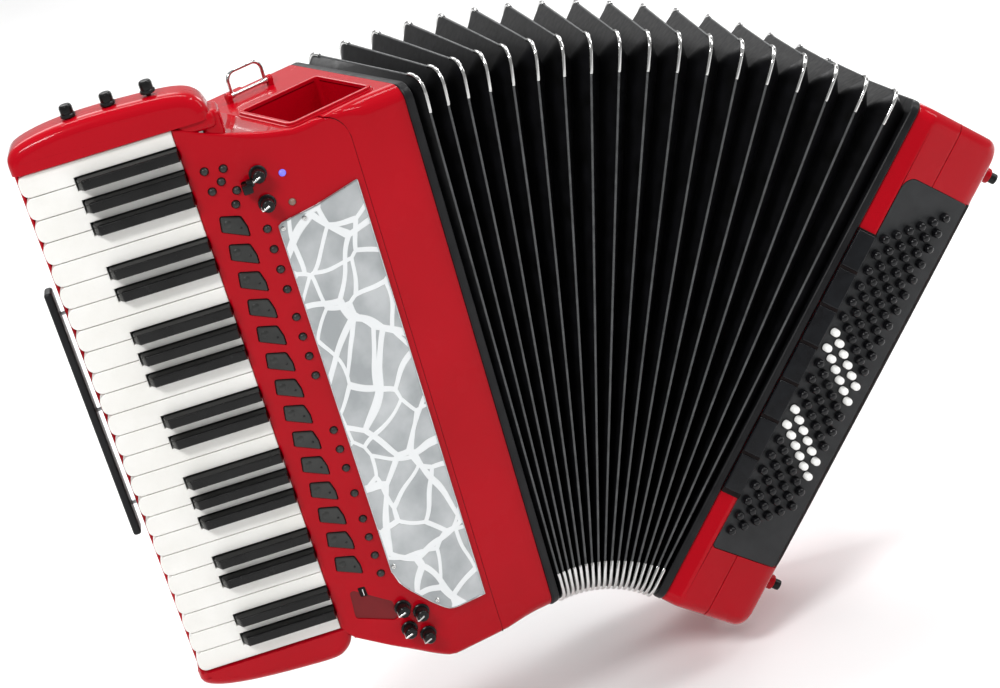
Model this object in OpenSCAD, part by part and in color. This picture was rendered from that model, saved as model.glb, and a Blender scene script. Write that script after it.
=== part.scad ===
// Piano accordion with 41 keys and 120 bass buttons, held open with the bellows fanned.
// Frame: +Z up along the keyboard, +X from the keyboard to the bass side, +Y towards the player.
// Origin: middle of the flat back of the treble body. Units are millimetres.

/* [Treble body] */
// Height of the body and of the bellows
body_h = 515; // [480:1:540]
// Depth of the body and of the bellows, front to back
body_d = 194; // [180:1:220]
// Wall thickness of the shells
wall = 4; // [3:0.5:6]
// Where the front cover meets the body, measured from the bellows side
seam_x = 52; // [46:1:58]
// Thickness of the front cover
cover_t = 3; // [2:0.5:4]
// Inside width of the tray on top
tray_w = 76; // [60:1:80]
// Inside depth of the tray, front to back
tray_d = 82; // [60:1:90]
// How deep the tray goes down
tray_h = 58; // [30:1:70]

/* [Keyboard] */
// Number of white keys
white_keys = 24; // [24:1:24]
// Distance from one white key to the next
key_pitch = 20; // [19:0.1:21]
// Visible length of a white key
white_len = 128.7; // [120:0.1:140]
// Visible length of a black key
black_len = 84; // [75:1:90]
// Width of a black key
black_w = 10.5; // [9:0.5:11.5]
// Height of a black key above the white ones
black_rise = 9.5; // [7:0.5:11]
// Lowest edge of the lowest white key
key_z = 63.9; // [55:0.1:75]
// Tilt of the keyboard plane
key_tilt = 27; // [20:0.5:32]
// Diameter of the key axle
axle_d = 3; // [2:0.5:4]

/* [Bellows] */
// Number of folds
folds = 18; // [18:1:18]
// Closed spacing of two folds
fold_pitch = 5.54; // [5.2:0.02:6]
// Thickness of one pressed fold
fold_t = 3.6; // [3:0.1:3.8]
// Depth of a fold, outer edge to inner edge
fold_depth = 22; // [18:1:26]
// Gap from the frame to the first half fold
fold_start = 9.9; // [9:0.1:12]
// Angle of the bass side when fanned open
fan_angle = 54.86; // [30:0.01:60]
// Extra angle of the middle folds
fan_swell = 18.24; // [0:0.01:20]
// Change of that extra angle from the first to the last folds
fan_skew = 7.43; // [0:0.01:8]
// Corner radius of the bellows frames
corner_r = 14; // [8:1:20]

/* [Bass unit] */
// Width of the bass box from the bellows to the end cover
bass_w = 55; // [50:1:60]
// Width of the whole bass unit
bass_total_w = 103; // [95:1:110]
// Slope of the button board
board_tilt = 25; // [15:1:35]
// Bottom of the button board
board_z0 = 68; // [60:1:80]
// Top of the button board
board_z1 = 452; // [440:1:460]
// Distance between the buttons of one row
bass_pitch = 15.9; // [15:0.05:16.5]
// Diameter of a bass button
bass_button_d = 7.6; // [6:0.2:9]

/* [Controls] */
// Distance between register tabs
reg_pitch = 25.3; // [24:0.1:27]
// Diameter of a push button
push_d = 6.6; // [5:0.2:8]
// Diameter of a pointer knob
knob_d = 10; // [8:0.5:12]

/* [Preview] */
// Show one piece, or all of them

/* [Hidden] */
$fn = 48;
org = [50, -body_d, -body_h / 2];
panel_a = 23.96;
panel_o = [-100.9, 23, 0];
key_o = [-181.4, 61, 0];
key_top = key_z + white_keys * key_pitch;
key_w = key_pitch - 0.8;
board_o = [24, 0, 0];
pivot_y = 21.6;
pivot_z = -13.6;
pivot_s = 0.542;
axis_a0 = 71.05;
axis_a1 = -34.82;
axis_a2 = 6.6;
bass_gap = 2.9;
reg_z = 452;
whites = ["f", "g", "a", "b", "c", "d", "e"];
has_next = [1, 1, 1, 0, 1, 1, 0];
has_prev = [0, 1, 1, 1, 0, 1, 1];
push_z = [440.5, 422, 403.5, 385, 359, 340.5, 322, 303.5, 250, 231.2, 212.5, 187,
    161, 142.2, 123.4, 104.6];
small_push = [[74, 503.4], [58.8, 500.9], [63.6, 491], [54, 480], [73.1, 485.3], [58.3, 469]];
lamps = [[14.5, 482.2], [14, 456]];
level_pos = [[31.5, 65.3], [16.8, 55.6], [31.4, 42.8], [16.8, 31.9]];
select_pos = [[33.8, 488], [33.8, 461.9]];
top_knob_s = [74, 41, 8];
stick_pos = [45.5, 489];
red = [0.74, 0.03, 0.09];
black = [0.05, 0.05, 0.055];
dark = [0.13, 0.13, 0.14];

// Places things given from the bottom front corner of the treble side.
module at() { translate(org) children(); }

// Along the sloping control panel: x away from the front ridge, y out of the panel.
module panel(u = 0, z = 0) {
    at() translate(panel_o) rotate([0, 0, 180 - panel_a]) translate([u, 0, z]) children();
}

// Along the keyboard: x towards the key tips, y out of the keys.
module keys() { at() translate(key_o) rotate([0, 0, 180 - key_tilt]) children(); }

// A cylinder along y.
module ycyl(r, y0, y1) { translate([0, y0, 0]) rotate([-90, 0, 0]) cylinder(r = r, h = y1 - y0); }

// A rounded plate lying in the YZ plane.
module yz_plate(x0, x1, y0, y1, z0, z1, r) {
    translate([x0, y0 + r, z0]) cube([x1 - x0, y1 - y0 - 2 * r, z1 - z0]);
    translate([x0, y0, z0 + r]) cube([x1 - x0, y1 - y0, z1 - z0 - 2 * r]);
    for (y = [y0 + r, y1 - r], z = [z0 + r, z1 - r])
        translate([x0, y, z]) rotate([0, 90, 0]) cylinder(r = r, h = x1 - x0);
}

// The same outline one wall thickness further in, for hollows.
module inset(x0, x1) {
    yz_plate(x0, x1, wall, body_d - wall, wall, body_h - wall, corner_r - wall);
}

// A rectangular ring in the YZ plane with rounded outer corners.
module ring(t, depth, r) {
    difference() {
        yz_plate(0, t, 0, body_d, 0, body_h, r);
        yz_plate(-1, t + 1, depth, body_d - depth, depth, body_h - depth, r / 2);
    }
}

// Share of the way through the bellows, angle, axis and closed place of fold k.
function share(k) = min((k - 0.5) / folds, 1);
function fan(k) = let (u = share(k)) fan_angle * u + fan_swell * u * (1 - u)
    + fan_skew * u * (1 - u) * (1 - 2 * u);
function lean(k) = let (u = share(k)) axis_a0 + axis_a1 * u + axis_a2 * u * (1 - u);
function closed(k) = fold_start + fold_pitch * folds * share(k) + (k > folds ? bass_gap : 0);

// Takes a piece from its closed place to the fanned one.
module fanned(k) {
    c = [pivot_s * closed(k), pivot_y, pivot_z];
    at() translate(c) rotate(a = fan(k), v = [0, cos(lean(k)), -sin(lean(k))])
        translate([closed(k), 0, 0] - c) children();
}
module bass() { fanned(folds + 1) children(); }

// Along the button board: x away from the bellows, y out of the board.
module board(w = 0, z = 0) {
    bass() translate(board_o) rotate([0, 0, board_tilt]) translate([w, 0, z]) mirror([0, 1, 0])
        children();
}

// Side outline of the sloping part that carries the controls, drawn in the XZ plane.
module side_profile(grow = 0) {
    translate([0, 300, 0]) rotate([90, 0, 0]) linear_extrude(height = 400)
        polygon([[-seam_x - grow, -1], [-100, -1], [-113, 6], [-147, 31], [-180, 57],
            [-180, 533], [-160, 531], [-113, 518], [-100, body_h + 1], [-seam_x - grow, body_h + 1]]);
}

module treble_body() {
    color(red) at() difference() {
        union() {
            difference() {
                intersection() {
                    translate([0, 0, 0]) linear_extrude(height = body_h)
                        polygon([[0, 3], [-seam_x, 12.6], [-seam_x, 16.5], [-98, 25.5],
                            [-98, body_d], [0, body_d]]);
                    yz_plate(-98, 0, 0, body_d, 0, body_h, corner_r);
                }
                intersection() {
                    translate([1, 0, wall]) linear_extrude(height = body_h - 2 * wall)
                        polygon([[0, 14], [-seam_x, 22], [-98 + wall, 30], [-98 + wall, 60],
                            [-98 + wall, body_d - wall], [0, body_d - wall]]);
                    inset(-100, 2);
                }
            }
            difference() {
                intersection() {
                    linear_extrude(height = 540)
                        polygon([[-97, 25.6], [-110, 33], [-148, 50], [-148, 95], [-130, 146],
                            [-97, 160]]);
                    side_profile();
                }
                translate([0, 0, 62]) linear_extrude(height = 450)
                    polygon([[-90, 20], [-112, 26], [-146, 42], [-144.5, 93], [-127, 141],
                        [-90, 152]]);
            }
            // seats of the keyboard frame
            translate(key_o) rotate([0, 0, 180 - key_tilt]) {
                translate([-38, -34, 496]) cube([14, 27, key_top + 0.6 - 496]);
                translate([-38, -34, 44]) cube([15.8, 27, 40]);
            }
        }
        // opening between the neck and the box
        translate([-99, 36, 62]) cube([8, 110, 388]);
        // tray on top
        translate([-54 - tray_w / 2, 70 - tray_d / 2, body_h - tray_h])
            cube([tray_w, tray_d, tray_h + 1]);
        // front opening under the grille
        translate([-97, 10, 60]) cube([35, 40, 375]);
        // room for the lower knob shafts
        translate(panel_o) rotate([0, 0, 180 - panel_a]) for (p = level_pos)
            translate([p[0], 0, p[1]]) ycyl(4, -14, 3);
    }
    // tray cup and rim
    color(red) at() difference() {
        translate([-54 - tray_w / 2 - 4, 70 - tray_d / 2 - 4, body_h - tray_h - 3])
            cube([tray_w + 8, tray_d + 8, tray_h + 6]);
        translate([-54 - tray_w / 2, 70 - tray_d / 2, body_h - tray_h])
            cube([tray_w, tray_d, tray_h + 6]);
    }
    // lugs of the strap loop
    color(red) at() for (x = [-80, -38]) translate([x, 155, body_h - 1])
        difference() {
            union() {
                translate([-2, -4, 0]) cube([4, 8, 6]);
                translate([-2, 0, 6]) rotate([0, 90, 0]) cylinder(r = 4, h = 4);
            }
            translate([-3, 0, 6]) rotate([0, 90, 0]) cylinder(r = 1.9, h = 6);
        }
}

module front_cover() {
    color(red) at() difference() {
        intersection() {
            linear_extrude(height = 540) polygon([[-seam_x - 0.5, 12.7], [-92, 20], [-100, 22.2],
                [-108, 26.2], [-174, 55.5], [-174, 58.9], [-109.5, 30.2], [-101, 25.4],
                [-93, 23.1], [-seam_x - 0.5, 15.9]]);
            side_profile(0.5);
        }
        // speaker opening
        translate([-96, 8, 62]) cube([29, 30, 370]);
        translate([-122, 8, 102]) cube([27, 50, 330]);
        yz_cut();
    }
}

// Holes through the control panel.
module yz_cut() {
    translate(panel_o) rotate([0, 0, 180 - panel_a]) {
        for (i = [0:13]) translate([51.5, -8, reg_z - reg_pitch * i - 10.6]) cube([27, 16, 21.2]);
        for (z = push_z) translate([40.2, 0, z]) ycyl(push_d / 2 + 0.5, -8, 8);
        for (p = small_push) translate([p[0], 0, p[1]]) ycyl(push_d / 2 + 0.5, -8, 8);
        for (p = lamps) translate([p[0], 0, p[1]]) ycyl(push_d / 2 + 0.1, -8, 8);
        for (p = concat(select_pos, level_pos)) translate([p[0], 0, p[1]]) ycyl(3.4, -8, 8);
        translate([stick_pos[0], 0, stick_pos[1] - 8]) ycyl(3, -8, 8);
    }
}

module grille() {
    color([0.86, 0.87, 0.88]) at() difference() {
        linear_extrude(height = 540) polygon([[-59.5, 11.9], [-92, 17.9], [-101, 20.4],
            [-109, 24.1], [-129, 33], [-130, 35.2], [-108.2, 25.8], [-100.2, 21.9],
            [-91.8, 19.6], [-60, 13.7]]);
        translate([-200, -50, -1]) cube([200, 200, 46]);
        translate([-200, -50, 447]) cube([200, 200, 100]);
        // sloping lower corner
        translate([-131, -20, 96]) rotate([0, -34.8, 0]) translate([-60, 0, -70]) cube([60, 90, 140]);
        for (i = [0:12]) translate([-91, 0, 72 + i * 28]) rotate([-90, 0, 0])
            cylinder(r = 9, h = 60);
        for (i = [0:11]) translate([-73, 0, 86 + i * 28]) rotate([-90, 0, 0])
            cylinder(r = 7, h = 60);
        for (i = [0:10]) translate([-115, 0, 114 + i * 28]) rotate([-90, 0, 0])
            cylinder(r = 7, h = 60);
    }
}

module keyboard_frame() {
    color(red) keys() difference() {
        union() {
            // bed
            translate([-20, -34, key_z - 6]) cube([152, 3, key_top - key_z + 12]);
            // outer rail
            translate([128, -34, key_z - 12]) cube([4, 10.5, key_top - key_z + 24]);
            // end blocks, rounded at the outer corner
            end_block(-34, key_top + 0.9, 575, 1);
            end_block(-8.3, 34, key_z - 0.9, -1);
            translate([-19.6, -34, 46]) cube([11.6, 28, key_z - 46.9]);
        }
        // guides of the palm bar
        for (z = [230, 322, 414]) translate([120, -27.4, z]) rotate([0, 90, 0])
            cylinder(r = 2.4, h = 20);
        // shafts of the top knobs
        for (s = top_knob_s) translate([s, -14, 555]) cylinder(r = 2.6, h = 30);
        // ends of the key axle pass here
        for (z = [key_z - 12, key_top]) translate([-14, -11, z]) cylinder(r = axle_d / 2 + 0.1, h = 12);
    }
}

// One end of the keyboard frame between two heights.
module end_block(s0, z0, z1, up) {
    r = 22;
    z_out = up > 0 ? z1 - r : z0 + r;
    translate([s0, -34, z0]) cube([132 - s0 - r, 37, z1 - z0]);
    if (z1 - z0 > r) translate([s0, -34, up > 0 ? z0 : z_out]) cube([132 - s0, 37, z1 - z0 - r]);
    intersection() {
        translate([132 - r, -34, z_out]) rotate([-90, 0, 0]) cylinder(r = r, h = 37);
        translate([132 - r - 1, -34, z0]) cube([r + 1, 37, z1 - z0]);
    }
}

module key_axle() {
    color([0.7, 0.71, 0.73]) keys() translate([-14, -11, key_z - 9.5])
        cylinder(r = axle_d / 2, h = key_top - key_z + 19);
}

module treble_gasket() { color(black) at() ring(8, 15, corner_r); }

module strap_loop() {
    color([0.78, 0.79, 0.8]) at() translate([-59, 155, body_h + 5]) {
        translate([-23, 0, 0]) rotate([0, 90, 0]) cylinder(r = 1.7, h = 46);
        for (x = [-17, 17]) {
            translate([x, 0, 0]) cylinder(r = 1.6, h = 22);
            translate([x, 0, 22]) sphere(r = 1.9);
        }
        translate([-17, 0, 22]) rotate([0, 90, 0]) cylinder(r = 1.6, h = 34);
    }
}

module main_board() {
    color([0.05, 0.3, 0.15]) panel(14, 66) translate([0, -16, 0]) cube([34, 1.8, 420]);
}

module speakers() {
    color(dark) at() for (z = [150, 350]) translate([-62, 0, z]) {
        translate([0, 50, 0]) rotate([-90, 0, 0]) cylinder(r = 27, h = 4);
        translate([0, 53, 0]) rotate([-90, 0, 0]) cylinder(r = 19, h = 20);
    }
}

module palm_bar() {
    color(black) keys() {
        translate([136, -30, 205]) cube([7, 18, 233.5]);
        for (z = [230, 322, 414]) translate([119.5, -27.4, z]) rotate([0, 90, 0])
            cylinder(r = 2, h = 17);
    }
}

module treble_registers() {
    color(dark) for (i = [0:13]) panel(53, reg_z - reg_pitch * i)
        translate([0, -3, -9.4]) cube([22.5, 4.2, 18.8]);
}

module push_buttons() {
    color(dark) {
        for (z = push_z) panel(40.2, z) ycyl(push_d / 2, -4, 2.2);
        for (p = small_push) panel(p[0], p[1]) ycyl(push_d / 2, -4, 2.2);
        for (p = lamps) panel(p[0], p[1]) ycyl(push_d / 2 - 0.3, -4, 1.2);
        panel(stick_pos[0], stick_pos[1] - 8) {
            ycyl(2.4, -9, 4);
            translate([-4.5, 3.5, -4.5]) cube([9, 8, 9]);
        }
    }
}

// A knob with a raised pointer; its shaft goes through the panel.
module knob(p) {
    color(black) panel(p[0], p[1]) {
        ycyl(3, -10, 1);
        ycyl(knob_d / 2, 0.6, 9);
        translate([-1, 8.5, -knob_d / 2 - 0.8]) cube([2, 3, knob_d + 0.8]);
    }
}
module select_knob_1() { knob(select_pos[0]); }
module select_knob_2() { knob(select_pos[1]); }
module level_knob_1() { knob(level_pos[0]); }
module level_knob_2() { knob(level_pos[1]); }
module level_knob_3() { knob(level_pos[2]); }
module level_knob_4() { knob(level_pos[3]); }

module top_knob(i) {
    color(black) keys() translate([top_knob_s[i], -14, 0]) {
        translate([0, 0, 560]) cylinder(r = 2.2, h = 16);
        translate([0, 0, 575.5]) cylinder(r = 6.5, h = 4);
        translate([0, 0, 579]) cylinder(r = 5.5, h = 7);
    }
}
module top_knob_1() { top_knob(0); }
module top_knob_2() { top_knob(1); }
module top_knob_3() { top_knob(2); }

// All white keys of one note; n counts the notes of the scale from F.
module white_note(n) {
    color([0.95, 0.95, 0.92]) keys() for (i = [n:7:white_keys - 1])
        translate([0, 0, key_top - key_pitch * (i + 0.5)]) white_key(
            has_next[n] && i < white_keys - 1, has_prev[n] && i > 0);
}

module white_key(next, prev) {
    half = key_w / 2;
    cut = black_w / 2 + 1.0 - 0.4;
    difference() {
        union() {
            translate([0, -16, -half]) cube([white_len - half, 16, key_w]);
            translate([white_len - half, -16, 0]) ycyl(half, 0, 16);
            translate([-19, -16, -3.5]) cube([22, 9, 7]);
        }
        if (next) translate([-1, -17, -half - 1]) cube([black_len + 2, 18, cut + 1]);
        if (prev) translate([-1, -17, half - cut]) cube([black_len + 2, 18, cut + 1]);
        translate([-14, -11, -10]) cylinder(r = axle_d / 2 + 0.3, h = 20);
    }
}

// All black keys that follow white note n.
module black_note(n) {
    color(black) keys() for (i = [n:7:white_keys - 2])
        translate([0, 0, key_top - key_pitch * (i + 1)]) difference() {
            union() {
                translate([0, -16, -black_w / 2]) cube([black_len - 1, 16, black_w]);
                translate([0, -0.5, -black_w / 2 + 0.6])
                    cube([black_len - 4, black_rise + 0.5, black_w - 1.2]);
                translate([-19, -16, -2.6]) cube([22, 9, 5.2]);
            }
            translate([-14, -11, -10]) cylinder(r = axle_d / 2 + 0.3, h = 20);
            translate([black_len, 0, -10]) rotate([0, 0, 24]) translate([0, -8, 0])
                cube([12, 24, 20]);
        }
}
module key_f() { white_note(0); }
module key_g() { white_note(1); }
module key_a() { white_note(2); }
module key_b() { white_note(3); }
module key_c() { white_note(4); }
module key_d() { white_note(5); }
module key_e() { white_note(6); }
module key_f_sharp() { black_note(0); }
module key_g_sharp() { black_note(1); }
module key_a_sharp() { black_note(2); }
module key_c_sharp() { black_note(4); }
module key_d_sharp() { black_note(5); }

// One fold of the bellows with its corner guards.
module fold(k) {
    color(black) fanned(k) translate([-fold_t / 2, 0, 0]) ring(fold_t, fold_depth, corner_r);
}
module bellows_fold_01() { fold(1); }
module bellows_fold_02() { fold(2); }
module bellows_fold_03() { fold(3); }
module bellows_fold_04() { fold(4); }
module bellows_fold_05() { fold(5); }
module bellows_fold_06() { fold(6); }
module bellows_fold_07() { fold(7); }
module bellows_fold_08() { fold(8); }
module bellows_fold_09() { fold(9); }
module bellows_fold_10() { fold(10); }
module bellows_fold_11() { fold(11); }
module bellows_fold_12() { fold(12); }
module bellows_fold_13() { fold(13); }
module bellows_fold_14() { fold(14); }
module bellows_fold_15() { fold(15); }
module bellows_fold_16() { fold(16); }
module bellows_fold_17() { fold(17); }
module bellows_fold_18() { fold(18); }

module bass_gasket() { color(black) bass() ring(8, 15, corner_r); }

module bass_body() {
    color(red) difference() {
        bass_box();
        // room for the button board
        board(2.2, board_z0) translate([0, -30, 0]) cube([60, 45, board_z1 - board_z0]);
    }
}

module bass_box() {
    bass() difference() {
        intersection() {
            linear_extrude(height = body_h) polygon([[8, 3], [24, 0], [bass_w, 14.4],
                [bass_w, body_d], [8, body_d]]);
            yz_plate(8, bass_w, 0, body_d, 0, body_h, corner_r);
        }
        intersection() {
            translate([0, 0, wall]) linear_extrude(height = body_h - 2 * wall)
                polygon([[7, 16], [24, 16], [56, 24], [56, body_d - wall], [7, body_d - wall]]);
            inset(6, 57);
        }
        // room for the registers
        translate([8.6, -2, 119.5]) cube([18, 12, 272]);
    }
}

module bass_end_cover() {
    color(red) bass() difference() {
        intersection() {
            linear_extrude(height = body_h) polygon([[bass_w + 0.4, 14.6], [98, 34.5],
                [bass_total_w, 40], [bass_total_w, 176], [bass_total_w - 8, body_d],
                [bass_w + 0.4, body_d]]);
            yz_plate(bass_w, bass_total_w, 0, body_d, 0, body_h, corner_r);
        }
        intersection() {
            translate([0, 0, wall]) linear_extrude(height = body_h - 2 * wall)
                polygon([[bass_w - 1, 20], [95, 39], [bass_total_w - wall, 44],
                    [bass_total_w - wall, 174], [bass_total_w - 11, body_d - wall],
                    [bass_w - 1, body_d - wall]]);
            inset(bass_w - 2, bass_total_w);
        }
        // room for the button board
        translate([0, 0, board_z0]) linear_extrude(height = board_z1 - board_z0)
            polygon([[bass_w - 5, 0], [99.5, 0], [99.5, 42], [bass_w - 5, 42]]);
        // holes for the strap posts
        for (z = [43, 485]) translate([90, 95, z]) rotate([0, 90, 0]) cylinder(r = 3.4, h = 20);
    }
}

module button_board() {
    color(dark) board() difference() {
        translate([2.6, -4, board_z0 + 0.4]) cube([79.5, 4, board_z1 - board_z0 - 0.8]);
        for (j = [0:5], i = [0:19]) translate([row_w(j), 0, row_z(j, i)])
            ycyl(bass_button_d / 2 + 0.4, -6, 2);
    }
}

// Place of a bass button: j is the row from the bellows outwards, i counts down.
function row_w(j) = 11 + j * 10.4;
function row_z(j, i) = 391.5 + j * 8.25 - i * bass_pitch;

module button_rows(j0, j1) {
    color(black) for (j = [j0:j1], i = [0:19]) board(row_w(j), row_z(j, i)) {
        ycyl(bass_button_d / 2, -5.5, 6.5);
        translate([0, 6.5, 0]) ycyl(bass_button_d / 2 - 1, 0, 1.5);
    }
}
module bass_note_buttons() { button_rows(0, 1); }
module chord_buttons() { button_rows(2, 5); }

module bass_registers() {
    color(dark) bass() for (i = [0:6]) translate([9, -1.2, 353.6 - 38.4 * i]) {
        cube([15.1, 6.5, 36.8]);
        cube([16, 2, 36.8]);
    }
}

module bass_strap() {
    color(black) bass() translate([0, 62, 0]) {
        translate([bass_total_w + 0.5, 0, 60]) cube([4, 66, 3]);
        translate([bass_total_w + 0.5, 0, 462]) cube([4, 66, 3]);
        translate([bass_total_w + 4, 0, 60]) cube([3, 66, 405]);
    }
}

// Posts above and below that hold the ends of the bass strap.
module strap_posts() {
    color(black) bass() for (z = [43, 485]) translate([0, 95, z]) {
        translate([94, 0, 0]) rotate([0, 90, 0]) cylinder(r = 3.4, h = 14);
        translate([bass_total_w, 0, 0]) rotate([0, 90, 0]) cylinder(r = 8, h = 16);
        translate([bass_total_w + 15, 0, 0]) rotate([0, 90, 0]) cylinder(r = 5.2, h = 12.5);
    }
}

treble_body();
front_cover();
grille();
keyboard_frame();
key_axle();
treble_gasket();
strap_loop();
main_board();
speakers();
palm_bar();
treble_registers();
push_buttons();
top_knob_1();
top_knob_2();
top_knob_3();
select_knob_1();
select_knob_2();
level_knob_1();
level_knob_2();
level_knob_3();
level_knob_4();
key_f();
key_g();
key_a();
key_b();
key_c();
key_d();
key_e();
key_f_sharp();
key_g_sharp();
key_a_sharp();
key_c_sharp();
key_d_sharp();
bellows_fold_01();
bellows_fold_02();
bellows_fold_03();
bellows_fold_04();
bellows_fold_05();
bellows_fold_06();
bellows_fold_07();
bellows_fold_08();
bellows_fold_09();
bellows_fold_10();
bellows_fold_11();
bellows_fold_12();
bellows_fold_13();
bellows_fold_14();
bellows_fold_15();
bellows_fold_16();
bellows_fold_17();
bellows_fold_18();
bass_gasket();
bass_body();
bass_end_cover();
button_board();
bass_registers();
bass_note_buttons();
chord_buttons();
bass_strap();
strap_posts();
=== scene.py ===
"""Piano accordion held open with its bellows fanned."""
import bpy, bmesh, math, random
from mathutils import Matrix, Vector


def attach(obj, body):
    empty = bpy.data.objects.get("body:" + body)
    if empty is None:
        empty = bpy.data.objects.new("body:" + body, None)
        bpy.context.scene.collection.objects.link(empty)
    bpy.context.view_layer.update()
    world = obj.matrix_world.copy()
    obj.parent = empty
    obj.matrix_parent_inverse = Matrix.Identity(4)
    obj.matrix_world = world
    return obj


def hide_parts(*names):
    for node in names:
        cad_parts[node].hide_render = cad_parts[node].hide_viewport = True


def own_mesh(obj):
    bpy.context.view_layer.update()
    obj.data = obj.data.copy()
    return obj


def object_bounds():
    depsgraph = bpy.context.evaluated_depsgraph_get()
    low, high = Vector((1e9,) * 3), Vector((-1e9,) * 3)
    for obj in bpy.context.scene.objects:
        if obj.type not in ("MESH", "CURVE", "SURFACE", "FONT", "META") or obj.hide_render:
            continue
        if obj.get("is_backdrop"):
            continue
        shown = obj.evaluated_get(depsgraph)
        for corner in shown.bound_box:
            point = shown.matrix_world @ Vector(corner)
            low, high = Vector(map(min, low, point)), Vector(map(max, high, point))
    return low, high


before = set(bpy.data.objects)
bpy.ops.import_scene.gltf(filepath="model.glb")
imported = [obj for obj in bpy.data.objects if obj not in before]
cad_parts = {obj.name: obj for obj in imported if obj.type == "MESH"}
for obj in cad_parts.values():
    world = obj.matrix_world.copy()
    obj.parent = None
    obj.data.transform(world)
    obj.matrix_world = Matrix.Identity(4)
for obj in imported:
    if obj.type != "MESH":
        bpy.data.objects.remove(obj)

cad_lo, cad_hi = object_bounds()
scene = bpy.context.scene

# ---------------------------------------------------------------- camera
cam = bpy.data.objects.new("camera", bpy.data.cameras.new("camera"))
scene.collection.objects.link(cam)
cr = Vector((0.77556606, -0.57741385, -0.25512846))
cu = Vector((0.4334418, 0.19326728, 0.88021359))
cb = Vector((-0.45893953, -0.79324713, 0.40016684))
cam.matrix_world = Matrix(((cr.x, cu.x, cb.x, -0.819558), (cr.y, cu.y, cb.y, -1.732650),
                           (cr.z, cu.z, cb.z, 0.782840), (0, 0, 0, 1)))
cam.data.sensor_width = 36
cam.data.lens = 80.35
cam.data.clip_start, cam.data.clip_end = 0.05, 60
cam.data.dof.use_dof = False
scene.camera = cam

# ---------------------------------------------------------------- sizes in millimetres that several pieces share
HEIGHT, DEPTH = 515, 194                              # of the treble box, the bellows and the bass box
FOLDS = 18
KEY_PITCH, KEY_TOP = 20, 63.9 + 24 * 20               # white keys, and the upper side of the highest one
TAB_Z = [452 - 25.3 * i for i in range(14)]           # treble register tabs
SEAM_X, SEAM_Z, SEAM_R = -77.5, 490, 25               # curved end of the front cover's seam
TRAY = (-92, -16, 29, 111)                            # opening of the tray on top: x0, x1, y0, y1

# ---------------------------------------------------------------- frames (millimetres to the row frame)
rad = math.radians


def T(x, y, z):
    return Matrix.Translation((x, y, z))


def RZ(a):
    return Matrix.Rotation(rad(a), 4, "Z")


ROW = Matrix.Scale(0.001, 4) @ T(50, -DEPTH, -HEIGHT / 2)
PANEL = ROW @ T(-100.9, 23, 0) @ RZ(180 - 23.96)
KEYS = ROW @ T(-181.4, 61, 0) @ RZ(180 - 27)


def share(k):
    return min((k - 0.5) / FOLDS, 1)


def closed(k):
    return 9.9 + 5.54 * FOLDS * share(k) + (2.9 if k > FOLDS else 0)


def fan(k):
    u = share(k)
    return 54.86 * u + 18.24 * u * (1 - u) + 7.43 * u * (1 - u) * (1 - 2 * u)


def fanned(k):
    """Takes a piece from its closed place (x = 0 in the plane of the fold) to the fanned one."""
    u = share(k)
    lean = rad(71.05 - 34.82 * u + 6.6 * u * (1 - u))
    c = Vector((0.542 * closed(k), 21.6, -13.6))
    turn = Matrix.Rotation(rad(fan(k)), 4, Vector((0, math.cos(lean), -math.sin(lean))))
    return T(*c) @ turn @ T(closed(k) - c.x, -c.y, -c.z)


BASS = ROW @ fanned(FOLDS + 1)
BOARD = BASS @ T(24, 0, 0) @ RZ(25) @ Matrix.Diagonal((1, -1, 1, 1))


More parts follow.
